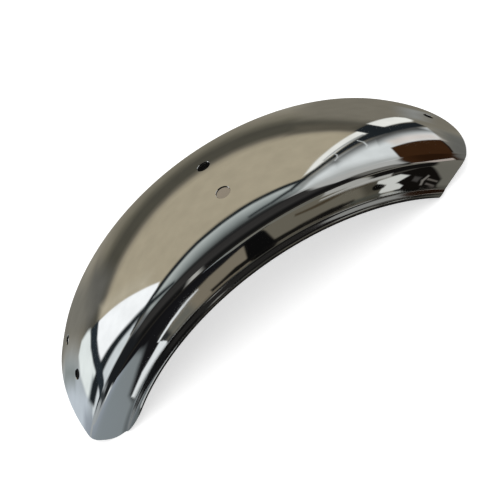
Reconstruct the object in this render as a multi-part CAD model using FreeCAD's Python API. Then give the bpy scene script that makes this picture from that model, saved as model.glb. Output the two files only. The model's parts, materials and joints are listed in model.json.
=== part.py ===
import FreeCAD, Part
import math
import os

# A rear mudguard for a small motorcycle: one pressed and chromed sheet, bent over an arc of the wheel.
# Lengths are millimetres and angles degrees. "Tail" is the straight end, "front" the round one.

# The arch, seen from the side
crown_radius = 212.0            # from the wheel's axle to the outside of the crown
span = 98.0                     # angle between the tips of the two ends
sheet = 1.2                     # thickness of the sheet

# The section across the arch
crown_section_radius = 150.0    # slight dome of the crown
shoulder_width = 100.0          # over the two shoulders, where they run into the flanks
shoulder_radius = 7.5
flank_lean = 7.5                # the flanks open outwards by this much
flank_height = 14.0
bead_root_radius = 2.0          # hollow bend where the flank turns out into the bead
bead_radius = 2.75              # round of the rolled bead
bead_slope = 20.0               # slope of the sheet between the root and the bead
bead_end = 180.0                # the roll stops when the sheet points back under the guard

# Tail end: cut straight across, its lower corners rounded and trimmed along the bead
tail_trim_depth = 25.8          # from the crown down to where the trim line meets the end
tail_trim_slope = 20.0
tail_corner_radius = 14.0

# Front end: cut round, the cut leaning in towards the bead
front_end_radius = 77.0
front_end_lean = 11.0

# Bolt holes, their distances measured along the crown from the end they are named for
tail_hole_diameter = 7.0
tail_hole_spacing = 33.0
tail_hole_setback = 28.0
frame_hole_diameter = 9.0
frame_hole_spacing = 33.0
frame_hole_setback = 185.0      # from the tail end
front_hole_diameter = 7.0
front_hole_setback = 16.0

# How far the cutting shapes reach past the sheet
reach = 20.0

# How the guard is set down: turns tried until both ends touch, and points looked at on each edge
settling_turns = 4
points_per_edge = 60

AXLE = FreeCAD.Vector(0, 0, 0)
ACROSS = FreeCAD.Vector(0, 1, 0)
UP = FreeCAD.Vector(0, 0, 1)


def sin(angle):
    return math.sin(math.radians(angle))


def cos(angle):
    return math.cos(math.radians(angle))


def tan(angle):
    return math.tan(math.radians(angle))


# Headings along the section: 0 runs level and outwards, 90 runs straight down towards the axle
flank_heading = 90.0 - flank_lean
shoulder_reach = shoulder_width / 2 - shoulder_radius * sin(flank_heading)
crown_heading = math.degrees(math.asin(shoulder_reach / (crown_section_radius - shoulder_radius)))


def bend(start, radius, heading, to):
    """The point reached by a bend that turns one heading into another; a negative radius is hollow."""
    y, depth = start
    return (y + radius * (sin(to) - sin(heading)), depth + radius * (cos(heading) - cos(to)))


def place(side, point):
    """A section point, given as distance from the middle and depth below the crown's top."""
    y, depth = point
    return FreeCAD.Vector(0, side * y, crown_radius - depth)


def arc(side, start, radius, heading, to):
    """The edge of one bend of the section."""
    middle = bend(start, radius, heading, (heading + to) / 2)
    points = [place(side, point) for point in (start, middle, bend(start, radius, heading, to))]
    return Part.Arc(*points).toShape()


def sheet_face(under):
    """Edges of one face of the sheet, a given depth under its outer face, and the lip's two points."""
    top = (0.0, under)
    shoulder = bend(top, crown_section_radius - under, 0.0, crown_heading)
    flank_top = bend(shoulder, shoulder_radius - under, crown_heading, flank_heading)
    flank_foot = (
        flank_top[0] + flank_height * cos(flank_heading),
        flank_top[1] + flank_height * sin(flank_heading),
    )
    bead_top = bend(flank_foot, -bead_root_radius - under, flank_heading, bead_slope)
    lip = bend(bead_top, bead_radius - under, bead_slope, bead_end)
    edges = [Part.Arc(place(-1, shoulder), place(1, top), place(1, shoulder)).toShape()]
    for side in (-1, 1):
        edges.append(arc(side, shoulder, shoulder_radius - under, crown_heading, flank_heading))
        edges.append(Part.LineSegment(place(side, flank_top), place(side, flank_foot)).toShape())
        edges.append(arc(side, flank_foot, -bead_root_radius - under, flank_heading, bead_slope))
        edges.append(arc(side, bead_top, bead_radius - under, bead_slope, bead_end))
    return edges, {side: place(side, lip) for side in (-1, 1)}


def arch():
    """The whole section turned about the axle, the middle of the arch at the top."""
    outer, outer_lip = sheet_face(0.0)
    inner, inner_lip = sheet_face(sheet)
    caps = [Part.LineSegment(outer_lip[side], inner_lip[side]).toShape() for side in (-1, 1)]
    profile = Part.Wire(Part.__sortEdges__(outer + inner + caps))
    solid = Part.Face(profile).revolve(AXLE, ACROSS, span)
    solid.rotate(AXLE, ACROSS, -span / 2)
    return solid


def tail_cut():
    """What the tail's trim takes away, drawn with the end at the top and the guard towards +X."""
    corner = crown_radius - tail_trim_depth
    tangent = tail_corner_radius * tan((90.0 - tail_trim_slope) / 2)
    turn = (90.0 + tail_trim_slope) / 2
    centre_x = tail_corner_radius
    centre_z = corner + tangent

    def point(x, z):
        return FreeCAD.Vector(x, -shoulder_width, z)

    def on_corner(angle):
        return point(centre_x - tail_corner_radius * sin(angle), centre_z - tail_corner_radius * cos(angle))

    # The trim line stops where it passes nearest to the axle, already clear of the bead
    nearest = point(corner * sin(tail_trim_slope) * cos(tail_trim_slope), corner * cos(tail_trim_slope) ** 2)
    floor = nearest.z - reach
    outside = [
        on_corner(tail_trim_slope),
        nearest,
        point(nearest.x, floor),
        point(-reach, floor),
        point(-reach, crown_radius + reach),
        point(0.0, crown_radius + reach),
        on_corner(90.0),
    ]
    edges = [Part.LineSegment(a, b).toShape() for a, b in zip(outside, outside[1:])]
    edges.append(Part.Arc(on_corner(90.0), on_corner(turn), on_corner(tail_trim_slope)).toShape())
    face = Part.Face(Part.Wire(Part.__sortEdges__(edges)))
    cut = face.extrude(ACROSS * (2 * shoulder_width))
    cut.rotate(AXLE, ACROSS, -span / 2)
    return cut


def front_cut():
    """What the round front cut takes away: a block with the end's round left standing in it."""
    tip = FreeCAD.Vector(0, 0, crown_radius)
    height = front_end_radius + reach
    low = FreeCAD.Vector(-front_end_radius, -shoulder_width, tip.z - front_end_radius)
    block = Part.makeBox(front_end_radius + reach, 2 * shoulder_width, height, low)
    foot = FreeCAD.Vector(-front_end_radius, 0, low.z)
    keep = Part.makeCylinder(front_end_radius, height, foot, UP)
    cut = block.cut(keep)
    cut.rotate(tip, ACROSS, front_end_lean)
    cut.rotate(AXLE, ACROSS, span / 2)
    return cut


def crown_angle(length):
    """The angle that a length along the crown takes up at the axle."""
    return math.degrees(length / crown_radius)


HOLES = [
    ("tail", crown_angle(tail_hole_setback) - span / 2, tail_hole_diameter, tail_hole_spacing),
    ("frame", crown_angle(frame_hole_setback) - span / 2, frame_hole_diameter, frame_hole_spacing),
    ("front", span / 2 - crown_angle(front_hole_setback), front_hole_diameter, 0.0),
]


def bolt_holes():
    """Drills for the bolt holes: each pair is pierced in one stroke, so its two axes are parallel."""
    drills = []
    for name, angle, diameter, spacing in HOLES:
        for y in sorted({-spacing / 2, spacing / 2}):
            foot = FreeCAD.Vector(0, y, crown_radius - reach)
            drill = Part.makeCylinder(diameter / 2, 2 * reach, foot, UP)
            drill.rotate(AXLE, ACROSS, angle)
            drills.append(drill)
    return drills


def lowest(points, side):
    """The lowest of the points on one side of the middle of the arch."""
    return min((point for point in points if side * point.x > 0), key=lambda point: point.z)


def stand(solid):
    """The guard set down on its two ends; returns the turn about the axle and the shift that did it."""
    turned = 0.0
    for attempt in range(settling_turns):
        points = [point for edge in solid.Edges for point in edge.discretize(points_per_edge)]
        tail = lowest(points, -1)
        front = lowest(points, 1)
        tilt = math.degrees(math.atan2(front.z - tail.z, front.x - tail.x))
        solid.rotate(AXLE, ACROSS, tilt)
        turned += tilt
    box = solid.optimalBoundingBox(False)
    shift = FreeCAD.Vector(-(box.XMin + box.XMax) / 2, -(box.YMin + box.YMax) / 2, -box.ZMin)
    solid.translate(shift)
    return turned, shift


mudguard = arch().cut([tail_cut(), front_cut()] + bolt_holes())
mudguard = mudguard.Solids[0]
turned, shift = stand(mudguard)

os.makedirs("parts", exist_ok=True)
mudguard.exportStep("parts/mudguard.step")

box = mudguard.optimalBoundingBox(False)
print("valid", mudguard.isValid(), "volume", round(mudguard.Volume, 1))
print("size", round(box.XLength, 2), round(box.YLength, 2), round(box.ZLength, 2), "turned", round(turned, 3))
print("axle at", round(shift.x, 3), round(shift.z, 3))
for name, angle, diameter, spacing in HOLES:
    radial = FreeCAD.Vector(sin(angle + turned), 0, cos(angle + turned))
    centre = radial * crown_radius + shift
    print(name, "holes at", [round(v, 3) for v in centre], "axis", [round(v, 5) for v in radial])
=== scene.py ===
# %% [markdown]
# # A chromed motorcycle mudguard
#
# The part is one pressed sheet of steel, bent over an arc of the wheel and plated with bright chrome.
# A mirror has no look of its own: what is seen is its shape and the room around it. So this lesson has
# two halves. First the sheet is drawn again as a fine, even mesh, because the facets of a working model
# would break every reflection. Then a plain room is built for it to mirror.

# %% Load the working model
import bpy
import bmesh
import json
import math
import numpy as np
from collections import namedtuple
from mathutils import Color, Matrix, Vector


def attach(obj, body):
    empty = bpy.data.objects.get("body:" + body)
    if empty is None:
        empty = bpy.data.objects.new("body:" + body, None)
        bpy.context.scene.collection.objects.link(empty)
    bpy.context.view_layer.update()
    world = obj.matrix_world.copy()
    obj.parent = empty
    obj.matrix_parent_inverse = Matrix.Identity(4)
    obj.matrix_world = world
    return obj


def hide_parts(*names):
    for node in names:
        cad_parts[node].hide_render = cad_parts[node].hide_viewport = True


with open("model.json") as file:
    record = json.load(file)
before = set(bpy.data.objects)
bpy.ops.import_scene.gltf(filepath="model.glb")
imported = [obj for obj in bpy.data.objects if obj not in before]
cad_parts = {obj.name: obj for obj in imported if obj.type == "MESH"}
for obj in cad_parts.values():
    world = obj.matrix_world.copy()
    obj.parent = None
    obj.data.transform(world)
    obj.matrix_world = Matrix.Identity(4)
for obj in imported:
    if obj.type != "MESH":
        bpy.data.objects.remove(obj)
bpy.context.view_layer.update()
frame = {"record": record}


def rounded(values, digits=4):
    """Numbers cut short for printing."""
    return [round(float(value), digits) for value in values]


# %% [markdown]
# The camera comes first, because every later choice is judged through it. The guard is seen straight
# from its side and from about 44 degrees above, close up, with the camera rolled so that the arch
# climbs from lower left to upper right. Azimuth, height, roll and distance say this more plainly than
# a matrix does, so the camera is aimed from those four.

# %% The camera
AIM = Vector((-0.0023, 0.0136, 0.0001))
CAMERA_DISTANCE = 0.4376
CAMERA_AZIMUTH = math.radians(1.49)
CAMERA_ELEVATION = math.radians(43.53)
CAMERA_ROLL = math.radians(38.01)
FOCAL_PIXELS = 613.1
PICTURE_PIXELS = 500.0
SENSOR_WIDTH = 36.0
NEAREST_SEEN = 0.01


def put_in_scene(name, data):
    """A new object that shows some data, linked to the scene."""
    piece = bpy.data.objects.new(name, data)
    bpy.context.scene.collection.objects.link(piece)
    return piece


def aim_camera():
    """A camera on a sphere about the aim, rolled about its own line of sight."""
    flat = math.cos(CAMERA_ELEVATION)
    x = flat * math.sin(CAMERA_AZIMUTH)
    y = -flat * math.cos(CAMERA_AZIMUTH)
    back = Vector((x, y, math.sin(CAMERA_ELEVATION)))
    turn = back.to_track_quat("Z", "Y").to_matrix() @ Matrix.Rotation(-CAMERA_ROLL, 3, "Z")
    data = bpy.data.cameras.new("camera")
    data.sensor_width = SENSOR_WIDTH
    data.lens = SENSOR_WIDTH * FOCAL_PIXELS / PICTURE_PIXELS
    data.clip_start = NEAREST_SEEN
    camera = put_in_scene("camera", data)
    camera.matrix_world = Matrix.Translation(AIM + CAMERA_DISTANCE * back) @ turn.to_4x4()
    bpy.context.scene.camera = camera
    return camera


camera = aim_camera()
print("camera at", rounded(camera.matrix_world.translation), "lens", round(camera.data.lens, 2))

# %% [markdown]
# The wheel's axle is the centre that the whole arch is bent about. It isn't part of the guard, but the
# bolt holes point straight at it, so the record's mounts give it: step back from the front hole, along
# the hole's own axis, by the radius of the middle of the sheet. The ends of the arch are then so many
# millimetres of crown away from the holes.

# %% Where the arch lies
MM = 0.001
CROWN_RADIUS = 212.0 * MM
SHEET = 1.2 * MM
TAIL_HOLE_SETBACK = 28.0 * MM
FRONT_HOLE_SETBACK = 16.0 * MM

mounts = {mount["name"]: mount for mount in frame["record"]["mounts"]}


def turn_of(name):
    """The angle of a mount's axis about the axle, from straight up towards the front."""
    x, _, z = mounts[name]["axis"]
    return math.atan2(x, z)


front_mount = mounts["front_bolt"]
axle = Vector(front_mount["pos_m"]) - (CROWN_RADIUS - SHEET / 2) * Vector(front_mount["axis"])
tail_turn = turn_of("tail_bolts") - TAIL_HOLE_SETBACK / CROWN_RADIUS
front_turn = turn_of("front_bolt") + FRONT_HOLE_SETBACK / CROWN_RADIUS
print("axle", rounded(axle), "ends", rounded(np.degrees([tail_turn, front_turn]), 2), "degrees")

# %% [markdown]
# A press gives the sheet its section: a slightly domed crown, tight shoulders, flanks that open
# outwards a little, and a rolled bead that stiffens the edge. All but the flanks are bends, which turn
# one heading of the sheet into another. Walking the section stretch by stretch keeps each one tangent to
# the next, so no crease shows in the mirror.

# %% The section of the sheet
CROWN_SECTION_RADIUS = 150.0 * MM
SHOULDER_WIDTH = 100.0 * MM
SHOULDER_RADIUS = 7.5 * MM
FLANK_HEADING = math.radians(82.5)
FLANK_HEIGHT = 14.0 * MM
BEAD_ROOT_RADIUS = 2.0 * MM
BEAD_RADIUS = 2.75 * MM
BEAD_SLOPE = math.radians(20.0)
BEAD_END = math.radians(180.0)
STEPS = {"crown": 32, "shoulder": 18, "flank": 8, "root": 7, "bead": 16}

shoulder_centre = SHOULDER_WIDTH / 2 - SHOULDER_RADIUS * math.sin(FLANK_HEADING)
crown_heading = math.asin(shoulder_centre / (CROWN_SECTION_RADIUS - SHOULDER_RADIUS))


def bend(start, radius, heading, to, steps):
    """Points along a bend, as distance from the middle and depth under the crown's top."""
    turns = np.linspace(heading, to, steps + 1)[1:]
    y = start[0] + radius * (np.sin(turns) - math.sin(heading))
    depth = start[1] + radius * (math.cos(heading) - np.cos(turns))
    return list(zip(y, depth))


def straight(start, length, heading, steps):
    """Points along a straight stretch, in the same terms."""
    runs = [length * step / steps for step in range(1, steps + 1)]
    return [(start[0] + run * math.cos(heading), start[1] + run * math.sin(heading)) for run in runs]


def half_section(under):
    """Half a face of the sheet, from the middle to the lip, a given depth under its outer face."""
    points = [(0.0, under)]
    points += bend(points[-1], CROWN_SECTION_RADIUS - under, 0.0, crown_heading, STEPS["crown"])
    points += bend(points[-1], SHOULDER_RADIUS - under, crown_heading, FLANK_HEADING, STEPS["shoulder"])
    points += straight(points[-1], FLANK_HEIGHT, FLANK_HEADING, STEPS["flank"])
    points += bend(points[-1], -BEAD_ROOT_RADIUS - under, FLANK_HEADING, BEAD_SLOPE, STEPS["root"])
    points += bend(points[-1], BEAD_RADIUS - under, BEAD_SLOPE, BEAD_END, STEPS["bead"])
    return points


def section(under):
    """The whole section from one lip to the other: distances from the middle, and depths."""
    half = half_section(under)
    both = [(-y, depth) for y, depth in half[:0:-1]] + half
    return np.array(both).T


across, depths = section(0.0)
section_size = (2 * max(across) / MM, max(depths) / MM)
print("section points", len(across), "width and depth", rounded(section_size, 2), "mm")

# %% [markdown]
# Both ends are trimmed after pressing. The tail is cut straight across, with its lower corners rounded
# and sheared off along the bead. The front is cut round, as seen from above, and the cut leans in
# towards the bead. For every point of the section there is an angle about the axle at which it meets
# the cut, and plane geometry gives it without any search.

# %% The trimmed ends
TAIL_CORNER_DEPTH = 25.8 * MM
TAIL_TRIM_SLOPE = math.radians(20.0)
TAIL_CORNER_RADIUS = 14.0 * MM
FRONT_END_RADIUS = 77.0 * MM
FRONT_END_LEAN = math.radians(11.0)


def tail_end(depth):
    """The angle at which the tail's cut meets a line of the sheet that runs at a depth."""
    radius = CROWN_RADIUS - depth
    corner = CROWN_RADIUS - TAIL_CORNER_DEPTH
    centre = corner + TAIL_CORNER_RADIUS * math.tan((math.pi / 2 - TAIL_TRIM_SLOPE) / 2)
    reach = math.hypot(TAIL_CORNER_RADIUS, centre)
    lean = math.atan2(TAIL_CORNER_RADIUS, centre)
    foot_x = TAIL_CORNER_RADIUS * (1 - math.sin(TAIL_TRIM_SLOPE))
    foot_z = centre - TAIL_CORNER_RADIUS * math.cos(TAIL_TRIM_SLOPE)
    between = (radius**2 + reach**2 - TAIL_CORNER_RADIUS**2) / (2 * radius * reach)
    on_corner = lean - np.arccos(np.clip(between, -1, 1))
    trim_line = corner * math.cos(TAIL_TRIM_SLOPE)
    on_trim = TAIL_TRIM_SLOPE - np.arccos(np.clip(trim_line / radius, -1, 1))
    below = np.where(radius >= math.hypot(foot_x, foot_z), on_corner, on_trim)
    return tail_turn + np.where(radius >= centre, 0.0, below)


def front_end(y, depth):
    """The angle at which the front's round cut meets a line of the sheet."""
    radius = CROWN_RADIUS - depth
    round_off = np.sqrt(FRONT_END_RADIUS**2 - y**2) - FRONT_END_RADIUS
    lean = FRONT_END_LEAN
    return front_turn + lean + np.arcsin((round_off - CROWN_RADIUS * math.sin(lean)) / radius)


print("sheet along the crown", round((front_turn - tail_turn) * CROWN_RADIUS / MM, 1), "mm")

# %% [markdown]
# The two faces of the sheet, the polished one outside and the plain one underneath, are laid out as
# grids of points. A solidify modifier could thicken a single surface, but it only comes near the true
# thickness where the bead is bent tightly. Here each face has its own section, drawn at its own depth.
# The class below collects points and faces and knows nothing of mudguards.

# %% The two faces of the sheet
STATIONS = 250
CHAMFER = 0.22 * MM
OUTSIDE, INSIDE, PUNCHED = 0, 1, 2

# the numbers of a face's points, their turns about the axle, distances across, depth and finish
SheetFace = namedtuple("SheetFace", "grid turns y under finish")


class SheetMesh:
    """Collects points, faces and the finish of each face."""

    def __init__(self):
        self.points = []
        self.faces = []
        self.finishes = []

    def add_points(self, points):
        """Adds points and returns their numbers in the same layout."""
        flat = np.asarray(points).reshape(-1, 3)
        first = len(self.points)
        self.points.extend(map(tuple, flat))
        return np.arange(first, first + len(flat)).reshape(np.asarray(points).shape[:-1])

    def add_face(self, corners, finish=OUTSIDE):
        self.faces.append([int(corner) for corner in corners])
        self.finishes.append(finish)

    def add_strip(self, one, other, finish=OUTSIDE, closed=False):
        """Quads between two rows of points."""
        count = len(one)
        for k in range(count if closed else count - 1):
            n = (k + 1) % count
            self.add_face((one[k], one[n], other[n], other[k]), finish)


def on_arch(turn, y, depth):
    """Points of the sheet in the part's frame."""
    radius = CROWN_RADIUS - depth
    x = axle.x + radius * np.sin(turn)
    z = axle.z + radius * np.cos(turn)
    return np.stack(np.broadcast_arrays(x, axle.y + y, z), axis=-1)


def skin(sheet, under, finish):
    """One face of the sheet: a grid of points from the tail to the front and from lip to lip."""
    y, depth = section(under)
    setback = CHAMFER / (CROWN_RADIUS - depth)
    start = tail_end(depth) + setback
    stop = front_end(y, depth) - setback
    along = np.linspace(0.0, 1.0, STATIONS + 1)[:, None]
    turns = start + along * (stop - start)
    return SheetFace(sheet.add_points(on_arch(turns, y, depth)), turns, y, under, finish)


sheet = SheetMesh()
outer = skin(sheet, 0.0, OUTSIDE)
inner = skin(sheet, SHEET, INSIDE)
print("points of each face", outer.grid.shape, inner.grid.shape)

# %% [markdown]
# Five bolt holes are punched through the crown: a pair at the tail, a pair at the middle and one at the
# front. A boolean would be quick to write, but it leaves slivers round a hole, and in chrome every
# sliver shows. So a small block of grid cells is kept free for each hole, to be filled one by one. The
# record's mounts say where the holes are and how wide.

# %% Where the holes go
HOLE_MARGIN = 1.7
CROWN_DEPTH = 12.0 * MM

Hole = namedtuple("Hole", "turn y radius")


def bolt_holes():
    """Every hole: the turn of its axis, its distance from the middle and its radius."""
    holes = []
    for name in ("tail_bolts", "frame_bolts"):
        dims = mounts[name]["dims"]
        for side in (-1, 1):
            holes.append(Hole(turn_of(name), side * dims["pcd_mm"] / 2 * MM, dims["hole_r_mm"] * MM))
    holes.append(Hole(turn_of("front_bolt"), 0.0, front_mount["dims"]["r_mm"] * MM))
    return holes


def hole_block(hole):
    """The block of grid cells that a hole takes up: first and last station, first and last line."""
    reach = HOLE_MARGIN * hole.radius
    aside = np.abs(outer.y - hole.y)
    along = (outer.turns[:, aside.argmin()] - hole.turn) * CROWN_RADIUS
    stations = np.nonzero(np.abs(along) <= reach)[0]
    lines = np.nonzero((aside <= reach) & (depths < CROWN_DEPTH))[0]
    return stations[0], stations[-1], lines[0], lines[-1]


holes = bolt_holes()
blocks = [hole_block(hole) for hole in holes]
print("holes", [f"{2 * hole.radius / MM:.0f} mm" for hole in holes])

# %% [markdown]
# Now the grids are filled with quads, all but the blocks. The sheet's thickness shows at the two cut
# ends and along the lips of the beads. A deburred edge has a fine chamfer, and its thin bright line is
# what tells the eye that this is sheet metal, so the ends get one.

# %% Filling the faces and closing the edges
LIPS = (0, -1)


def fill_faces():
    """Quads over both faces of the sheet, but for the blocks."""
    top, low = outer.grid, inner.grid
    free = np.ones((top.shape[0] - 1, top.shape[1] - 1), bool)
    for first, last, left, right in blocks:
        free[first:last, left:right] = False
    for i, j in zip(*np.nonzero(free)):
        sheet.add_face((top[i, j], top[i, j + 1], top[i + 1, j + 1], top[i + 1, j]), OUTSIDE)
        sheet.add_face((low[i, j], low[i + 1, j], low[i + 1, j + 1], low[i, j + 1]), INSIDE)


def edge_row(under, at_tail):
    """A row of points along a cut end, a given depth into its edge."""
    y, depth = section(under)
    turns = tail_end(depth) if at_tail else front_end(y, depth)
    return sheet.add_points(on_arch(turns, y, depth))


def close_edges():
    """Joins the two faces along both cut ends and both lips."""
    for station, at_tail in ((0, True), (STATIONS, False)):
        upper = edge_row(CHAMFER, at_tail)
        lower = edge_row(SHEET - CHAMFER, at_tail)
        chain = [outer.grid[station], upper, lower, inner.grid[station]]
        for one, other in zip(chain, chain[1:]):
            sheet.add_strip(one, other)
        for lip in LIPS:
            sheet.add_face([row[lip] for row in chain])
    for lip in LIPS:
        sheet.add_strip(outer.grid[:, lip], inner.grid[:, lip])


fill_faces()
close_edges()
print("faces without the holes", len(sheet.faces))

# %% [markdown]
# A punched hole is round, but the block left free for it has four sides. Rings of points lead from one
# to the other: each point of the border keeps its direction from the middle of the hole and moves in by
# steps. All rings lie on the crown's own curve, so the mirror stays smooth right up to the rim.

# %% Punching the holes
HOLE_RINGS = (0.62, 0.3, 0.0)


def crown_depth(y, under):
    """How deep a face of the crown lies at a distance from the middle."""
    return CROWN_SECTION_RADIUS - np.sqrt((CROWN_SECTION_RADIUS - under) ** 2 - y**2)


def crown_point(turn, along, y, under):
    """A point of the crown, from its distance along the tangent at a turn and across the guard."""
    depth = crown_depth(y, under)
    return on_arch(turn + np.arcsin(along / (CROWN_RADIUS - depth)), y, depth)


def border(block):
    """The stations and lines round a block, in order."""
    top, bottom, left, right = block
    loop = [(top, j) for j in range(left, right)]
    loop += [(i, right) for i in range(top, bottom)]
    loop += [(bottom, j) for j in range(right, left, -1)]
    loop += [(i, left) for i in range(bottom, top, -1)]
    return np.array(loop).T


def hole_rings(face, block, hole):
    """Leads a face of the sheet from a block's border to the hole; returns the rim and its angles."""
    stations, lines = border(block)
    edge_y = face.y[lines]
    edge_radius = CROWN_RADIUS - crown_depth(edge_y, face.under)
    edge_along = np.sin(face.turns[stations, lines] - hole.turn) * edge_radius
    angle = np.arctan2(edge_y - hole.y, edge_along)
    rim_along = (hole.radius + CHAMFER) * np.cos(angle)
    rim_y = hole.y + (hole.radius + CHAMFER) * np.sin(angle)
    ring = face.grid[stations, lines]
    for share in HOLE_RINGS:
        along = rim_along + share * (edge_along - rim_along)
        y = rim_y + share * (edge_y - rim_y)
        smaller = sheet.add_points(crown_point(hole.turn, along, y, face.under))
        sheet.add_strip(ring, smaller, face.finish, closed=True)
        ring = smaller
    return ring, angle


def wall_ring(hole, angle, under):
    """A ring on a hole's wall."""
    along = hole.radius * np.cos(angle)
    y = hole.y + hole.radius * np.sin(angle)
    return sheet.add_points(crown_point(hole.turn, along, y, under))


def punch(block, hole):
    """Leads both faces to a hole and joins them by its wall."""
    top_rim, angle = hole_rings(outer, block, hole)
    low_rim, _ = hole_rings(inner, block, hole)
    upper = wall_ring(hole, angle, CHAMFER)
    lower = wall_ring(hole, angle, SHEET - CHAMFER)
    sheet.add_strip(top_rim, upper, OUTSIDE, closed=True)
    sheet.add_strip(upper, lower, PUNCHED, closed=True)
    sheet.add_strip(lower, low_rim, PUNCHED, closed=True)


for block, hole in zip(blocks, holes):
    punch(block, hole)
print("faces with the holes", len(sheet.faces))

# %% [markdown]
# The points and faces become a Blender object. The grid points inside the blocks belong to no face, so
# they are taken out. Shading is smooth, but for the cut edges, which stay sharp. The volume and the
# count of open edges are printed, to show whether the sheet is closed and how heavy it is. The object
# then takes the place of the working model's own mudguard.

# %% The mudguard
SHARP_ANGLE = math.radians(32.0)


def to_object(name):
    """Turns the collected points and faces into a Blender object, smooth but for its cut edges."""
    mesh = bpy.data.meshes.new(name)
    mesh.from_pydata(sheet.points, [], sheet.faces)
    mesh.polygons.foreach_set("material_index", sheet.finishes)
    work = bmesh.new()
    work.from_mesh(mesh)
    loose = [point for point in work.verts if not point.link_faces]
    bmesh.ops.delete(work, geom=loose, context="VERTS")
    bmesh.ops.recalc_face_normals(work, faces=work.faces)
    volume = work.calc_volume() / MM**3
    open_edges = sum(1 for edge in work.edges if not edge.is_manifold)
    work.to_mesh(mesh)
    work.free()
    mesh.shade_smooth()
    mesh.set_sharp_from_angle(angle=SHARP_ANGLE)
    print(name, "faces", len(mesh.polygons), "open edges", open_edges, "volume", round(volume, 1), "mm3")
    return put_in_scene(name, mesh)


guard = to_object("mudguard_sheet")
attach(guard, "root")
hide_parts("mudguard")

# %% [markdown]
# A finish is a tree of shader nodes, and the same few nodes come back in every one of them. Each gets a
# small helper, so that a finish further down reads like a recipe: a noise, a span of values brought to
# another span, one colour laid over another.

# %% Tools for a finish
def new_material(name):
    """A material with an empty tree of nodes."""
    material = bpy.data.materials.new(name)
    material.use_nodes = True
    material.node_tree.nodes.clear()
    return material, material.node_tree


def principled(tree):
    """A Principled shader, joined to the material's output."""
    shader = tree.nodes.new("ShaderNodeBsdfPrincipled")
    output = tree.nodes.new("ShaderNodeOutputMaterial")
    tree.links.new(shader.outputs["BSDF"], output.inputs["Surface"])
    return shader


def noise(tree, vector, scale, detail):
    """A cloudy value from nought to one over a place."""
    node = tree.nodes.new("ShaderNodeTexNoise")
    node.inputs["Scale"].default_value = scale
    node.inputs["Detail"].default_value = detail
    tree.links.new(vector, node.inputs["Vector"])
    return node.outputs["Fac"]


def map_range(tree, value, span, to_span):
    """Brings a value from one span to another."""
    node = tree.nodes.new("ShaderNodeMapRange")
    sockets = ("From Min", "From Max", "To Min", "To Max")
    for socket, number in zip(sockets, (*span, *to_span)):
        node.inputs[socket].default_value = number
    tree.links.new(value, node.inputs["Value"])
    return node.outputs["Result"]


def math_node(tree, operation, *values):
    """One step of arithmetic on numbers and on outputs of other nodes."""
    node = tree.nodes.new("ShaderNodeMath")
    node.operation = operation
    for socket, value in zip(node.inputs, values):
        if isinstance(value, (int, float)):
            socket.default_value = value
        else:
            tree.links.new(value, socket)
    return node.outputs["Value"]


def vector_math(tree, operation, vector, constant=None):
    """One step of arithmetic on a vector, with a constant vector where the step needs one."""
    node = tree.nodes.new("ShaderNodeVectorMath")
    node.operation = operation
    tree.links.new(vector, node.inputs[0])
    if constant is not None:
        node.inputs[1].default_value = constant
    return node


def two_tones(tree, value, dark, light):
    """A colour that goes from a dark one to a light one with a value."""
    tint = tree.nodes.new("ShaderNodeValToRGB")
    tint.color_ramp.elements[0].color = dark
    tint.color_ramp.elements[1].color = light
    tree.links.new(value, tint.inputs["Fac"])
    return tint.outputs["Color"]


def lay_over(tree, colour, mask, tone):
    """Lays a tone over a colour, as far as a mask lets it show."""
    mix = tree.nodes.new("ShaderNodeMix")
    mix.data_type = "RGBA"
    tree.links.new(mask, mix.inputs["Factor"])
    if isinstance(colour, tuple):
        mix.inputs["A"].default_value = colour
    else:
        tree.links.new(colour, mix.inputs["A"])
    mix.inputs["B"].default_value = tone
    return mix.outputs["Result"]


print("materials before the first finish", len(bpy.data.materials))

# %% [markdown]
# Chrome plating is a thin, hard mirror. It isn't quite perfect: polishing leaves a faint haze that comes
# and goes, the narrow bead is rougher than the rest, and the pressed sheet under the plating is never
# dead flat. The bead's colour is also a darker grey, a painted shade that dims what it mirrors. A
# Principled shader at full metallic gives the mirror, a noise drives its roughness, the distance from the
# axle tells where the bead is, and a very shallow bump bends the reflections a little.

# %% The bright chrome outside
POLISH_NOISE = (30.0, 3.0)
POLISH_DARK = (0.90, 0.90, 0.89, 1)
POLISH_LIGHT = (0.95, 0.95, 0.95, 1)
HAZE_NOISE = (55.0, 4.0)
HAZE_SPAN = (0.35, 0.75)
HAZE_ROUGHNESS = (0.02, 0.055)
WAVE_NOISE = (40.0, 1.0)
WAVE_STRENGTH = 0.05
WAVE_HEIGHT = 0.6 * MM
BEAD_TOP = CROWN_RADIUS - 25.0 * MM
BEAD_FADE = 2.0 * MM
BEAD_HAZE = 0.09
# the bead's darker grey is a painted shade: it dims what the bead mirrors
BEAD_SHADE_GREY = (0.54, 0.54, 0.53, 1)
WHEEL_PLANE = (1.0, 0.0, 1.0)


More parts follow.
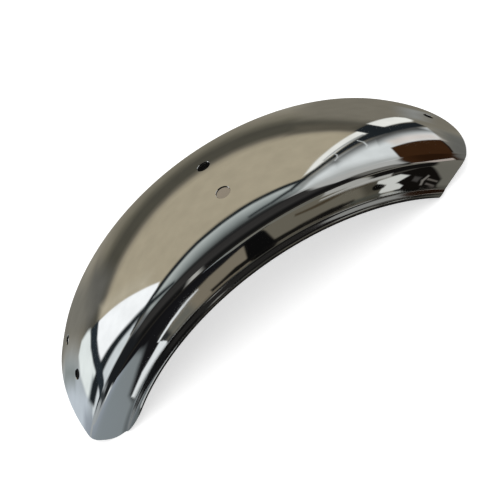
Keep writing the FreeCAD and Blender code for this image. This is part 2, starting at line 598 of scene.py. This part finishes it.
def bright_chrome(name):
    """Polished plating, rougher on the bead, where a painted shade also darkens it."""
    material, tree = new_material(name)
    place = tree.nodes.new("ShaderNodeTexCoord").outputs["Object"]
    shader = principled(tree)
    shader.inputs["Metallic"].default_value = 1.0

    in_plane = vector_math(tree, "MULTIPLY", place, WHEEL_PLANE).outputs["Vector"]
    from_axle = vector_math(tree, "DISTANCE", in_plane, axle).outputs["Value"]
    on_bead = map_range(tree, from_axle, (BEAD_TOP, BEAD_TOP - BEAD_FADE), (0.0, 1.0))

    polish = two_tones(tree, noise(tree, place, *POLISH_NOISE), POLISH_DARK, POLISH_LIGHT)
    # a painted shade darkens the bead's colour over the polish
    tree.links.new(lay_over(tree, polish, on_bead, BEAD_SHADE_GREY), shader.inputs["Base Color"])

    haze = map_range(tree, noise(tree, place, *HAZE_NOISE), HAZE_SPAN, HAZE_ROUGHNESS)
    rough = math_node(tree, "MULTIPLY_ADD", on_bead, BEAD_HAZE, haze)
    tree.links.new(rough, shader.inputs["Roughness"])

    bump = tree.nodes.new("ShaderNodeBump")
    bump.inputs["Strength"].default_value = WAVE_STRENGTH
    bump.inputs["Distance"].default_value = WAVE_HEIGHT
    tree.links.new(noise(tree, place, *WAVE_NOISE), bump.inputs["Height"])
    tree.links.new(bump.outputs["Normal"], shader.inputs["Normal"])
    return material


guard.data.materials.append(bright_chrome("chrome_outside"))
print("outside", guard.data.materials[OUTSIDE].name)

# %% [markdown]
# Nobody polishes a mudguard underneath. There the plating is grey and rough, and it must not throw
# bright spots through the bolt holes. The walls of the punched holes are near black, a painted shade
# for the shadow inside them. Both are one recipe with different greys, so one function makes both.

# %% The dull chrome underneath, and the painted shade in the holes
DULL_NOISE = (45.0, 5.0)
GRAIN_NOISE = (220.0, 4.0)
GRAIN_SPAN = (0.3, 0.7)
GRAIN_ROUGHNESS = (0.22, 0.36)
INSIDE_GREYS = (0.18, 0.30)
# near black greys: a painted shade on the walls of the holes
HOLE_SHADE_GREYS = (0.02, 0.05)


def dull_chrome(name, greys):
    """Unpolished plating between a dark and a light grey; near black greys make it a painted shade."""
    material, tree = new_material(name)
    place = tree.nodes.new("ShaderNodeTexCoord").outputs["Object"]
    shader = principled(tree)
    shader.inputs["Metallic"].default_value = 1.0
    dark, light = [(grey, grey, grey, 1) for grey in greys]
    tint = two_tones(tree, noise(tree, place, *DULL_NOISE), dark, light)
    tree.links.new(tint, shader.inputs["Base Color"])
    grain = noise(tree, place, *GRAIN_NOISE)
    tree.links.new(map_range(tree, grain, GRAIN_SPAN, GRAIN_ROUGHNESS), shader.inputs["Roughness"])
    return material


guard.data.materials.append(dull_chrome("chrome_inside", INSIDE_GREYS))
# the walls of the holes get a painted shade
guard.data.materials.append(dull_chrome("hole_wall_shade", HOLE_SHADE_GREYS))
print("finishes", [material.name for material in guard.data.materials])

# %% [markdown]
# Now the room. Cards would do, but their edges are all equally sharp, and in this room some edges are
# crisp and some fade. So the room is painted, patch by patch, with soft-edged shapes. A convex polygon
# is where all its edges agree: the distance to each edge is a dot product, and the least of them says
# how far inside a place lies. A bar is a chain of such polygons, and a round is a distance.

# %% Shapes with soft edges
def soft_step(tree, value, low=0.0, high=1.0):
    """Goes smoothly from nought to one between two values."""
    step = tree.nodes.new("ShaderNodeMapRange")
    step.interpolation_type = "SMOOTHSTEP"
    step.inputs["From Min"].default_value = low
    step.inputs["From Max"].default_value = high
    tree.links.new(value, step.inputs["Value"])
    return step.outputs["Result"]


def polygon_mask(tree, point, corners, soft):
    """One inside a convex polygon, nought outside; soft is the width of its edges, or of each edge."""
    corners = [Vector(corner) for corner in corners]
    widths = soft if isinstance(soft, tuple) else (soft,) * len(corners)
    edges = list(zip(corners, corners[1:] + corners[:1], widths))
    if sum(a.x * b.y - b.x * a.y for a, b, _ in edges) < 0:
        edges = [(b, a, width) for a, b, width in edges]
    inside = None
    for a, b, width in edges:
        run = (b - a).normalized() / width
        line = (-run.y, run.x, run.y * a.x - run.x * a.y + 0.5)
        side = vector_math(tree, "DOT_PRODUCT", point, line).outputs["Value"]
        inside = side if inside is None else math_node(tree, "MINIMUM", inside, side)
    return soft_step(tree, inside)


def bar_mask(tree, point, path, soft):
    """A bar along a path of places, each with the bar's width there; stretches overlap at joints."""
    places = [Vector(place) for place, _ in path]
    widths = [width for _, width in path]
    runs = [(b - a).normalized() for a, b in zip(places, places[1:])]
    overlaps = [0.0]
    for before, after, width in zip(runs, runs[1:], widths[1:]):
        overlaps.append(soft / 2 + width / 2 * math.tan(before.angle(after) / 2))
    overlaps.append(0.0)
    mask = None
    for k, run in enumerate(runs):
        start = places[k] - run * overlaps[k]
        stop = places[k + 1] + run * overlaps[k + 1]
        start_side = run.orthogonal() * widths[k] / 2
        stop_side = run.orthogonal() * widths[k + 1] / 2
        corners = [start + start_side, start - start_side, stop - stop_side, stop + stop_side]
        stretch = polygon_mask(tree, point, corners, soft)
        mask = stretch if mask is None else math_node(tree, "MAXIMUM", mask, stretch)
    return mask


def round_mask(tree, point, disc, soft):
    """A disc, given by its centre and its radius."""
    (x, y), radius = disc
    away = vector_math(tree, "DISTANCE", point, (x, y, 1.0)).outputs["Value"]
    return soft_step(tree, away, radius + soft / 2, radius - soft / 2)


MASKS = {"patch": polygon_mask, "bar": bar_mask, "round": round_mask}
print("shapes to paint with", list(MASKS))

# %% [markdown]
# A painting is a run of colours to start with, and layers over it. Each layer has its kind, its shape,
# the softness of its edge and its tone. Tones are chosen as they should look in the picture, from 0 to
# 255, and Blender's own conversion makes them ready for the shader. The pieces of the room glow by
# themselves, so no lamp changes them, and only mirror rays see them.

# %% Tools for painting
def display(red, green, blue):
    """A colour as it should look in the picture, made ready for the shader."""
    seen = Color((red / 255, green / 255, blue / 255))
    return [*seen.from_srgb_to_scene_linear(), 1.0]


def paint(tree, colour, point, layers):
    """Lays shapes, one after the other, over the colour that is there already."""
    for kind, shape, soft, tone in layers:
        mask = MASKS[kind](tree, point, shape, soft)
        colour = lay_over(tree, colour, mask, tone)
    return colour


def ramp(tree, value, span, stops):
    """A run of colours along a value."""
    low, high = span
    node = tree.nodes.new("ShaderNodeValToRGB")
    elements = node.color_ramp.elements
    elements.remove(elements[1])
    for k, (at, colour) in enumerate(stops):
        share = (at - low) / (high - low)
        element = elements[0] if k == 0 else elements.new(share)
        element.position = share
        element.color = colour
    tree.links.new(map_range(tree, value, span, (0.0, 1.0)), node.inputs["Fac"])
    return node.outputs["Color"]


def drawing_place(tree, along, aside):
    """A place on the painting, with a one as its third value, as the masks need it."""
    point = tree.nodes.new("ShaderNodeCombineXYZ")
    tree.links.new(along, point.inputs["X"])
    tree.links.new(aside, point.inputs["Y"])
    point.inputs["Z"].default_value = 1.0
    return point.outputs["Vector"]


def glow(material, colour):
    """Shows a colour as it is, whatever light falls on it, without being a lamp."""
    tree = material.node_tree
    emission = tree.nodes.new("ShaderNodeEmission")
    tree.links.new(colour, emission.inputs["Color"])
    output = tree.nodes.new("ShaderNodeOutputMaterial")
    tree.links.new(emission.outputs["Emission"], output.inputs["Surface"])
    material.cycles.emission_sampling = "NONE"


def mirror_only(piece):
    """Keeps a piece of the room out of the picture and out of the light: only mirrors show it."""
    piece.visible_camera = False
    piece.visible_diffuse = False
    piece.visible_transmission = False
    piece.visible_volume_scatter = False
    piece.visible_shadow = False


print("middle grey for the shader", rounded(display(128, 128, 128)))

# %% [markdown]
# The room is painted by direction, as a sky is: how many degrees a place lies from straight overhead,
# along the guard and across it. It starts with a run of colours across the guard, from the dark near
# side, over the ceiling with its thin dark edge, down the far wall. Then come the walls at both ends.

# %% The ceiling and the far walls
CEILING = display(166, 157, 136)
ROOM_SPAN = (-120.0, 120.0)
ROOM_LINES = [
    (-118, display(60, 57, 52)),
    (-75, display(18, 18, 18)),
    (-60, display(24, 24, 24)),
    (-40, display(50, 49, 48)),
    (0, display(46, 45, 44)),
    (11, display(34, 34, 34)),
    (14.5, display(44, 46, 46)),
    (18, display(128, 135, 134)),
    (22.2, display(178, 185, 183)),
    (23.0, display(30, 34, 34)),
    (23.7, display(30, 34, 34)),
    (24.7, CEILING),
    (60, CEILING),
    (63, display(150, 142, 124)),
    (66, display(104, 99, 88)),
    (69, display(76, 74, 65)),
    (77, display(74, 72, 64)),
    (82, display(93, 90, 79)),
    (87, display(116, 112, 99)),
    (93, display(128, 123, 110)),
    (104, display(142, 138, 126)),
]
FAR_WALLS = [
    ("patch", [(-42, 58), (-52, 53), (-62, 57), (-60, 74), (-42, 82)], 11, display(96, 95, 90)),
    ("patch", [(-57, 62), (-66, 66), (-70, 130), (-45, 130), (-48, 80)], 14, display(118, 116, 108)),
    ("patch", [(-71, 58), (-81, 20), (-140, 20), (-140, 140), (-72, 140)], 17, display(170, 178, 183)),
    ("patch", [(-80, 40), (-140, 20), (-140, 140), (-83, 140), (-79, 60)], 10, display(190, 199, 207)),
    ("patch", [(-84, 20), (-86, 43), (-96, 49), (-140, 40), (-140, 0)], 8, display(148, 156, 165)),
    ("bar", [((-74, 84), 6), ((-76, 60), 5)], 8, display(134, 141, 140)),
    ("bar", [((36, 62), 7), ((56, 52), 5)], 6, display(88, 84, 74)),
    ("patch", [(40, 71), (58, 58), (88, 60), (110, 130), (36, 130)], 11, display(117, 113, 102)),
    ("bar", [((70, 90), 7), ((75, 68), 6)], 8, display(134, 135, 132)),
    ("patch", [(80, 58), (90, 62), (140, 30), (140, -90), (88, -90), (84, 20)], 12, display(99, 99, 95)),
    ("bar", [((-54, 50), 5), ((-34, 30), 5)], 8, display(180, 172, 152)),
]
print("far walls", len(FAR_WALLS), "layers over", len(ROOM_LINES), "colours")

# %% [markdown]
# The near side of the room is what the shoulder and the bead mirror. It is dark in the middle and pale
# at both ends. All its edges are soft: the shoulder is bent so tightly that it squeezes the whole side
# into a few thin lines, and a soft edge still looks crisp there.

# %% The near side of the room
NEAR_SIDE = [
    ("patch", [(-57, 24), (-62, 4), (-70, -10), (-81, -20), (-140, -20), (-140, 24)], 5,
     display(158, 163, 165)),
    ("patch", [(-82, -14), (-76, -40), (-68, -62), (-66, -118), (-140, -118), (-140, -14)], 5,
     display(152, 157, 160)),
    ("patch", [(-58, 20), (-58, 6), (-48, 4), (-40, 14), (-42, 19)], 6, display(98, 101, 102)),
    ("bar", [((-78, 24), 4), ((-78, -30), 4)], 3, display(58, 62, 64)),
    ("patch", [(31, 20), (67.3, 25), (67.3, -46), (40, -44), (33, -20)], 5, display(170, 171, 169)),
    ("patch", [(46, -38), (64, -38), (63, -66), (47, -66)], 8, display(104, 103, 99)),
    ("patch", [(36, 18), (67, 26), (67, 5), (44, 6)], 8, display(190, 191, 190)),
    ("bar", [((-19, -48), 5), ((-20, -76), 7)], 5, display(168, 168, 163)),
    ("patch", [(-50, 17), (-74, 8), (-75, -40), (-70, -60), (-49, -60)], 8, display(28, 30, 32)),
    ("patch", [(-77, -44), (-70, -46), (-66, -76), (-72, -80)], 4, display(206, 211, 212)),
]
print("near side", len(NEAR_SIDE), "layers")

# %% [markdown]
# A window lights the tail. In the chrome it shows as two bright panes with dark bars that cross between
# them, and a greyer sill below. Its edges are among the crispest in the room, because light against
# dark is what makes metal look like chrome. A straight bar becomes a curve when it is drawn by
# direction, so each bar is a chain of short stretches.

# %% The window on the left
WHITE = display(250, 253, 255)
BAR = display(31, 36, 39)
LEFT_WINDOW = [
    ("patch", [(-31, 23.2), (-57.2, 48.8), (-64, 46), (-72, 36), (-72, 30), (-50, 22), (-36, 20)], 1.2,
     WHITE),
    ("patch", [(-60.8, 54), (-61.6, 56), (-65.5, 60), (-70, 59.5), (-76, 52), (-80.5, 42), (-81, 36),
               (-70, 34), (-63.4, 46)], 2.4, display(229, 236, 235)),
    ("patch", [(-85, 34), (-70, 33), (-44, 21), (-56, 19), (-76, 22), (-88, 29)], 2.0,
     display(206, 213, 216)),
    ("bar", [((-82, 37.4), 4), ((-74, 36.2), 4)], 4, display(120, 128, 131)),
    ("bar", [((-82, 35.2), 5.5), ((-76, 34), 6), ((-70, 32.6), 5.4), ((-60, 28.2), 3.8),
             ((-50, 23.6), 3.0), ((-40, 20.0), 2.2), ((-27, 15.5), 2.0)], 2.0, BAR),
    ("bar", [((-58.5, 51.0), 6.4), ((-63.6, 45.6), 5.4), ((-67.2, 39.6), 5), ((-70, 33.5), 5),
             ((-74.6, 27.5), 5), ((-79, 20), 6), ((-83, 10), 7)], 1.6, display(38, 45, 50)),
]
print("left window", len(LEFT_WINDOW), "layers")

# %% [markdown]
# A second window lights the front: a narrow strip and a pane above it, both cream, and a wide pale pane
# beyond a dark frame. Two thin hooked lines hang from the frame. The frame is painted after the panes,
# so that its width alone decides where glass ends.

# %% The window on the right
CREAM = display(233, 234, 229)
PALE = display(212, 217, 218)
RIGHT_WINDOW = [
    ("patch", [(27, 15.5), (32, 20.5), (46, 29.6), (60, 41), (68, 40), (70, 24), (56, 13.5), (36, 12)], 2,
     PALE),
    ("patch", [(56, 37), (66, 46), (76.5, 59.8), (79, 58), (83.6, 47.5), (82, 42), (66, 28)], 1.6, PALE),
    ("bar", [((66, 35.5), 5), ((82.5, 48.5), 5)], 5, display(210, 204, 199)),
    ("patch", [(24, 14), (30, 17), (46, 20), (67, 26), (70, 15), (56, 4), (36, 3)], 6,
     display(170, 173, 172)),
    ("bar", [((29, 18.0), 2.4), ((45, 27.0), 2.6)], 3, display(136, 139, 138)),
    ("bar", [((44, 26.0), 2.6), ((62, 40.0), 6.0), ((78, 56.4), 8.0)], 6.5, display(78, 79, 78)),
    ("patch", [(31.5, 23.6), (38, 30), (55.4, 49), (60.2, 45.6), (46, 32.6), (37, 25.2)], 1.2, CREAM),
    ("bar", [((41, 29.4), 0.6), ((58, 44.4), 1.2)], 0.8, display(158, 161, 160)),
    ("patch", [(60.2, 55.3), (66, 62.6), (69, 65.9), (72, 66.8), (74.2, 65.3), (74.2, 62.3),
               (66.5, 52.3), (64.2, 50.4)], 1.5, CREAM),
    ("bar", [((8, 16.2), 1.0), ((18, 16.9), 1.2), ((26, 18.6), 1.6), ((31, 21.3), 1.8),
             ((38, 25.4), 1.8), ((45, 30.1), 1.9), ((55, 38.7), 3.2), ((60, 43.0), 4.2),
             ((65, 47.4), 5.4), ((70, 52.4), 5.4), ((77, 60.8), 4.4)], 1.5, BAR),
    ("patch", [(55.4, 48.6), (60.4, 54.6), (66.5, 51), (64, 45), (59, 45.4)], 1.0, BAR),
    ("bar", [((45.4, 33), 0.5), ((46.3, 31), 0.5), ((46, 29), 0.5), ((44.6, 27), 0.4)], 0.5,
     display(178, 182, 182)),
    ("bar", [((55, 39.8), 0.5), ((57, 37.6), 0.6), ((57.7, 34.6), 0.6), ((56.8, 31.4), 0.4)], 0.5,
     display(186, 190, 190)),
]
print("right window", len(RIGHT_WINDOW), "layers")

# %% [markdown]
# A tall brown board stands in front of that window, darker towards its foot, with a pale line under it.
# The last layer is the ceiling's near edge, a thin dark line that runs along the whole crown. It comes
# last because it passes in front of the windows too.

# %% The board and the ceiling's edge
BROWN = display(54, 33, 18)
BOARD = [
    ("patch", [(65.4, 31), (83.6, 45.6), (86, 40), (87.2, 34.6), (88, 20), (67.8, 20)], 1.0, BROWN),
    ("bar", [((84, 45), 0.8), ((86.1, 40), 0.9), ((87.4, 34), 0.9)], 0.8, display(30, 19, 11)),
    ("patch", [(67.8, 24), (89, 32), (89.5, -26), (86, -48), (68, -55)], 3, BROWN),
    ("patch", [(72, 19), (89, 26), (89, -30), (85, -44), (72, -50)], 11, display(38, 22, 11)),
    ("bar", [((67, -57), 4), ((76, -60), 5), ((90, -54), 5)], 2.5, display(176, 166, 160)),
]
CEILING_EDGE = [
    ("bar", [((-52, 19.8), 1.2), ((-42, 20.4), 1.7), ((-28, 21.6), 1.7), ((-12, 22.9), 1.5),
             ((12, 22.9), 1.6), ((24, 22.3), 1.6), ((32, 21.6), 1.2)], 1.2, BAR),
]
print("board", len(BOARD), "layers, edge", len(CEILING_EDGE))

# %% [markdown]
# All of this goes on the inside of a large dome. It could be the world's background instead, but then
# the painting would light the floor as well. A dome can be kept to mirror rays alone. A faint blotchy
# noise over the whole of it takes away the evenness of flat paint.

# %% The dome
ROOM_PAINT = FAR_WALLS + NEAR_SIDE + LEFT_WINDOW + RIGHT_WINDOW + BOARD + CEILING_EDGE
DOME_RADIUS = 30.0
DOME_SEGMENTS = 96
DOME_RINGS = 48
BLOTCH_NOISE = (0.16, 4.0)
BLOTCH_SPAN = (0.3, 0.7)
BLOTCH_STRENGTH = (0.95, 1.05)


def split(tree, vector):
    """The three parts of a vector."""
    node = tree.nodes.new("ShaderNodeSeparateXYZ")
    tree.links.new(vector, node.inputs["Vector"])
    return node.outputs["X"], node.outputs["Y"], node.outputs["Z"]


def degrees_overhead(tree):
    """The place on the dome in degrees from straight overhead, and its tilt across the guard."""
    place = tree.nodes.new("ShaderNodeNewGeometry").outputs["Position"]
    x, y, z = split(tree, vector_math(tree, "NORMALIZE", place).outputs["Vector"])
    angle = math_node(tree, "ARCCOSINE", z)
    share = math_node(tree, "DIVIDE", math_node(tree, "DEGREES", angle), math_node(tree, "SINE", angle))
    along = math_node(tree, "MULTIPLY", share, x)
    aside = math_node(tree, "MULTIPLY", share, y)
    tilt = math_node(tree, "DEGREES", math_node(tree, "ARCTAN2", y, z))
    return drawing_place(tree, along, aside), tilt


def build_dome():
    """The room, painted on the inside of a sphere."""
    mesh = bpy.data.meshes.new("room_dome")
    work = bmesh.new()
    bmesh.ops.create_uvsphere(work, u_segments=DOME_SEGMENTS, v_segments=DOME_RINGS, radius=DOME_RADIUS)
    work.to_mesh(mesh)
    work.free()
    material, tree = new_material("room_paint")
    point, tilt = degrees_overhead(tree)
    colour = paint(tree, ramp(tree, tilt, ROOM_SPAN, ROOM_LINES), point, ROOM_PAINT)
    blotches = map_range(tree, noise(tree, point, *BLOTCH_NOISE), BLOTCH_SPAN, BLOTCH_STRENGTH)
    uneven = vector_math(tree, "SCALE", colour)
    tree.links.new(blotches, uneven.inputs["Scale"])
    glow(material, uneven.outputs["Vector"])
    mesh.materials.append(material)
    dome = put_in_scene("room_dome", mesh)
    mirror_only(dome)
    return dome


dome = build_dome()
print("dome layers", len(ROOM_PAINT), "nodes", len(dome.data.materials[0].node_tree.nodes))

# %% [markdown]
# Under the guard lies the table. The flanks lean out a little, so they mirror a strip of table a hand's
# breadth in front of them. That strip is near, and a near thing can't be painted by direction: it
# would slide along the flank. So the table has its own painting, in millimetres. This first half is
# what lies far out, and the dark wedge and the pale cloth beside the tail.

# %% The table, far out and beside the tail
TABLE_BLACK = display(22, 22, 24)
TABLE_WHITE = display(226, 231, 233)
TABLE_SPAN = (-700.0, 700.0)
TABLE_LINES = [
    (-700, display(146, 154, 163)),
    (-250, display(138, 146, 154)),
    (-150, display(128, 136, 140)),
    (0, display(112, 112, 104)),
    (100, display(98, 97, 90)),
    (160, display(104, 102, 94)),
    (700, display(110, 108, 100)),
]
FAR_OUT = [
    ("patch", [(-118, -125), (-1500, -1470), (-1500, -1500), (-300, -1500), (-5, -170)], 16,
     display(20, 20, 22)),
    ("patch", [(72, -153), (107, -123), (830, -1500), (560, -1500)], 10, display(162, 162, 158)),
    ("patch", [(107, -123), (140, -84), (225, -140), (330, -330), (307, -469)], 8, display(18, 17, 16)),
    ("patch", [(232, -150), (255, -112), (1500, -425), (1500, -1250)], 10, display(168, 158, 152)),
]
BESIDE_TAIL = [
    ("patch", [(-128, -70), (-132, -84), (-123, -110), (-114, -131), (-100, -160), (30, -260), (30, -60)],
     6, TABLE_BLACK),
    ("patch", [(-99, -119), (0, -143), (0, -176), (-20, -173), (-45, -167), (-60, -161), (-75, -153),
               (-88, -143), (-99, -129)], 3, display(118, 111, 97)),
    ("patch", [(-99, -118), (-66, -137), (-71, -151), (-99, -130)], 12, display(98, 98, 91)),
    ("patch", [(-100, -118), (-91, -125), (-94, -134), (-101, -128)], 6, display(44, 46, 46)),
    ("bar", [((-129, -80), 3), ((-118, -99), 5.5), ((-98.5, -121.8), 8.4)], 1.6, TABLE_WHITE),
    ("bar", [((-103.5, -124.5), 1.6), ((-98.5, -130.3), 2.2), ((-89, -140.5), 2.8), ((-79, -148.6), 2.8),
             ((-69, -155), 2.2), ((-58, -160.4), 1.2)], 1.2, TABLE_WHITE),
]
print("far out", len(FAR_OUT), "layers, beside the tail", len(BESIDE_TAIL))

# %% [markdown]
# The second half lies in front of the middle and the front: long streaks of dark and pale, a few small
# dark and white things, and the guard's own shadow close in front of the bead. A true shadow wouldn't
# show on a mat that glows, so it is painted like the rest.

# %% The table, in front of the middle and the front
TABLE_PALE = display(198, 200, 196)
BEFORE_MIDDLE = [
    ("patch", [(14, -110), (60, -100), (106, -80), (118, -112), (20, -230)], 5, display(100, 96, 85)),
    ("bar", [((80, -119), 6), ((101, -100), 6)], 4, display(68, 70, 64)),
    ("patch", [(92, -112), (104, -100), (110, -118), (98, -128)], 10, display(68, 65, 56)),
    ("bar", [((46, -161), 3), ((68, -148), 4), ((88, -137), 4), ((106, -120), 4)], 3,
     display(64, 56, 43)),
    ("bar", [((70, -154), 3), ((92, -138.5), 6), ((106, -125), 7), ((118, -110), 6)], 3,
     display(168, 168, 164)),
    ("bar", [((-48, -146.5), 4), ((-20, -151.5), 7), ((0, -152), 7), ((20, -149), 7), ((40, -142), 8),
             ((60, -133), 8.5), ((68, -129), 7.5), ((76, -124.4), 5), ((85, -119), 2)], 3,
     display(20, 19, 17)),
    ("patch", [(-9, -152), (20, -148), (18, -185), (-3, -185)], 3, display(12, 12, 12)),
]
BEFORE_FRONT = [
    ("patch", [(103, -88), (113, -72), (120, -63), (128, -64.5), (132, -72), (138, -86), (118, -109)], 3,
     display(16, 14, 12)),
    ("bar", [((121, -65), 1.2), ((120.5, -73), 1.6)], 1.2, display(84, 80, 76)),
    ("bar", [((125, -65.5), 1.2), ((124.4, -75), 1.6)], 1.2, display(92, 88, 83)),
    ("bar", [((118, -75.5), 1.6), ((122, -77.4), 2.2), ((127.5, -76.5), 1.8)], 1.4,
     display(112, 109, 104)),
    ("patch", [(119.5, -81), (124, -81), (123, -87), (119, -86)], 2.5, display(64, 62, 60)),
    ("patch", [(100, -101.5), (104, -96), (109.5, -89.5), (112.8, -89.5), (113, -95), (110, -104),
               (103, -104.8), (99.8, -103.6)], 1.6, TABLE_PALE),
    ("patch", [(111, -98), (122.3, -92.5), (120.5, -101), (116, -106.5), (108, -114.8), (105.5, -113.6),
               (107.5, -106)], 1.6, TABLE_PALE),
    ("patch", [(99.6, -110), (101.5, -107), (105, -104.2), (107.2, -104.3), (106.8, -109), (105, -113.5),
               (101.5, -114.5), (99.6, -112.5)], 1.6, display(12, 12, 10)),
]
UNDER_BEAD = [
    ("patch", [(-120, -60), (-92, -108), (-55, -128), (0, -134), (55, -118), (94, -90), (112, -56),
               (135, 60), (-145, 60)], 8, display(36, 35, 33)),
    ("patch", [(-129, -79), (-99, -123), (-84, -106), (-116, -60)], 2, TABLE_WHITE),
]
print("layers before the middle", len(BEFORE_MIDDLE), "and the front", len(BEFORE_FRONT))
print("layers under the bead", len(UNDER_BEAD))

# %% [markdown]
# The painting lies on a mat that only mirrors see, a hair above the pale floor. The mat reaches under
# the guard and out in front of it, but not behind it or straight out from its ends, so that the crown
# mirrors the room there and not the table.

# %% The mat
TABLE_PAINT = FAR_OUT + BESIDE_TAIL + BEFORE_MIDDLE + BEFORE_FRONT + UNDER_BEAD
TABLE_EDGE = [
    (-1500, -1500), (1500, -1500), (1500, -420), (230, -100), (150, -45),
    (150, 50), (-150, 50), (-165, -45), (-1500, -45),
]
TABLE_LIFT = 0.2 * MM


def flat_piece(name, corners, height):
    """A flat piece at a height, its corners in millimetres."""
    mesh = bpy.data.meshes.new(name)
    points = [(x * MM, y * MM, height) for x, y in corners]
    mesh.from_pydata(points, [], [tuple(range(len(points)))])
    return put_in_scene(name, mesh)


def place_in_mm(tree):
    """The place on a flat piece in millimetres, and how far along the guard it is."""
    x, y, _ = split(tree, tree.nodes.new("ShaderNodeNewGeometry").outputs["Position"])
    along = math_node(tree, "DIVIDE", x, MM)
    aside = math_node(tree, "DIVIDE", y, MM)
    return drawing_place(tree, along, aside), along


def build_table():
    """The mat with the painted table."""
    table = flat_piece("table_mat", TABLE_EDGE, TABLE_LIFT)
    material, tree = new_material("table_paint")
    point, along = place_in_mm(tree)
    glow(material, paint(tree, ramp(tree, along, TABLE_SPAN, TABLE_LINES), point, TABLE_PAINT))
    table.data.materials.append(material)
    mirror_only(table)
    return table


table = build_table()
print("table layers", len(TABLE_PAINT), "nodes", len(table.data.materials[0].node_tree.nodes))

# %% [markdown]
# The picture's ground is plain and white: a pale floor that glows a little, so that the guard's shadow
# stays light. Only where a bolt hole looks down on it, deep under the two ends and close behind the
# arch, is the floor given a painted shade. Those shades have wide soft edges, and narrow ones where an
# end stands.

# %% The floor
FLOOR_EDGE = [(-6000, -6000), (6000, -6000), (6000, 6000), (-6000, 6000)]
FLOOR_WHITE = (0.93, 0.93, 0.93, 1)
FLOOR_GLOW = 0.6
FLOOR_ROUGHNESS = 0.9
DEEP_SHADE = (0.012, 0.012, 0.012, 1)
WARM_SHADE = (0.21, 0.18, 0.14, 1)
FLOOR_SHADES = [
    ("round", ((7, 86), 36), 50, WARM_SHADE),
    ("patch", [(-159, -25), (-115, -25), (-100, 20), (-112, 46), (-142, 63), (-152, 64), (-159, 48)],
     (24, 40, 40, 14, 8, 5, 5), DEEP_SHADE),
    ("patch", [(110, -20), (150, -20), (157.5, 5), (157.5, 16), (150, 40), (110, 40)],
     (20, 4, 4, 4, 20, 30), DEEP_SHADE),
]


def build_floor():
    """A pale floor that takes the guard's shadow and stays out of the mirror."""
    floor = flat_piece("floor", FLOOR_EDGE, 0.0)
    material, tree = new_material("floor_white")
    point, _ = place_in_mm(tree)
    colour = paint(tree, FLOOR_WHITE, point, FLOOR_SHADES)
    shader = principled(tree)
    tree.links.new(colour, shader.inputs["Base Color"])
    tree.links.new(colour, shader.inputs["Emission Color"])
    shader.inputs["Emission Strength"].default_value = FLOOR_GLOW
    shader.inputs["Roughness"].default_value = FLOOR_ROUGHNESS
    shader.inputs["Specular IOR Level"].default_value = 0.0
    floor.data.materials.append(material)
    floor.visible_glossy = False
    return floor


floor = build_floor()
print("floor", rounded(floor.dimensions, 1), "m")

# %% [markdown]
# The light is plain: an even sky and one broad soft lamp, high up and a little in front. The sky is a
# grey that lights the floor to white, and where the camera looks straight at it, it shows white as well,
# so no horizon line appears from a lower side.

# %% The light
SKY_LIGHT = 0.7
SKY_SEEN = 1.0
SKY_COLOUR = (1.0, 1.0, 1.0, 1)
LAMP_PLACE = Vector((0.3, -0.4, 2.4))
LAMP_SIZE = 2.5
LAMP_WATTS = 10.0


def build_sky():
    """An even sky, grey as a light and white to the camera."""
    world = bpy.data.worlds.new("sky")
    world.use_nodes = True
    tree = world.node_tree
    seen = tree.nodes.new("ShaderNodeLightPath").outputs["Is Camera Ray"]
    background = tree.nodes["Background"]
    background.inputs["Color"].default_value = SKY_COLOUR
    strength = math_node(tree, "MULTIPLY_ADD", seen, SKY_SEEN - SKY_LIGHT, SKY_LIGHT)
    tree.links.new(strength, background.inputs["Strength"])
    bpy.context.scene.world = world


def build_lamp():
    """A broad lamp, turned to the guard and kept out of the mirror."""
    data = bpy.data.lights.new("soft_lamp", "AREA")
    data.shape = "DISK"
    data.size = LAMP_SIZE
    data.energy = LAMP_WATTS
    lamp = put_in_scene("soft_lamp", data)
    lamp.location = LAMP_PLACE
    lamp.rotation_euler = LAMP_PLACE.to_track_quat("Z", "Y").to_euler()
    lamp.visible_glossy = False
    return lamp


build_sky()
lamp = build_lamp()
bpy.context.scene.view_settings.view_transform = "Standard"
print("lamp", lamp.data.energy, "W, sky", SKY_LIGHT)
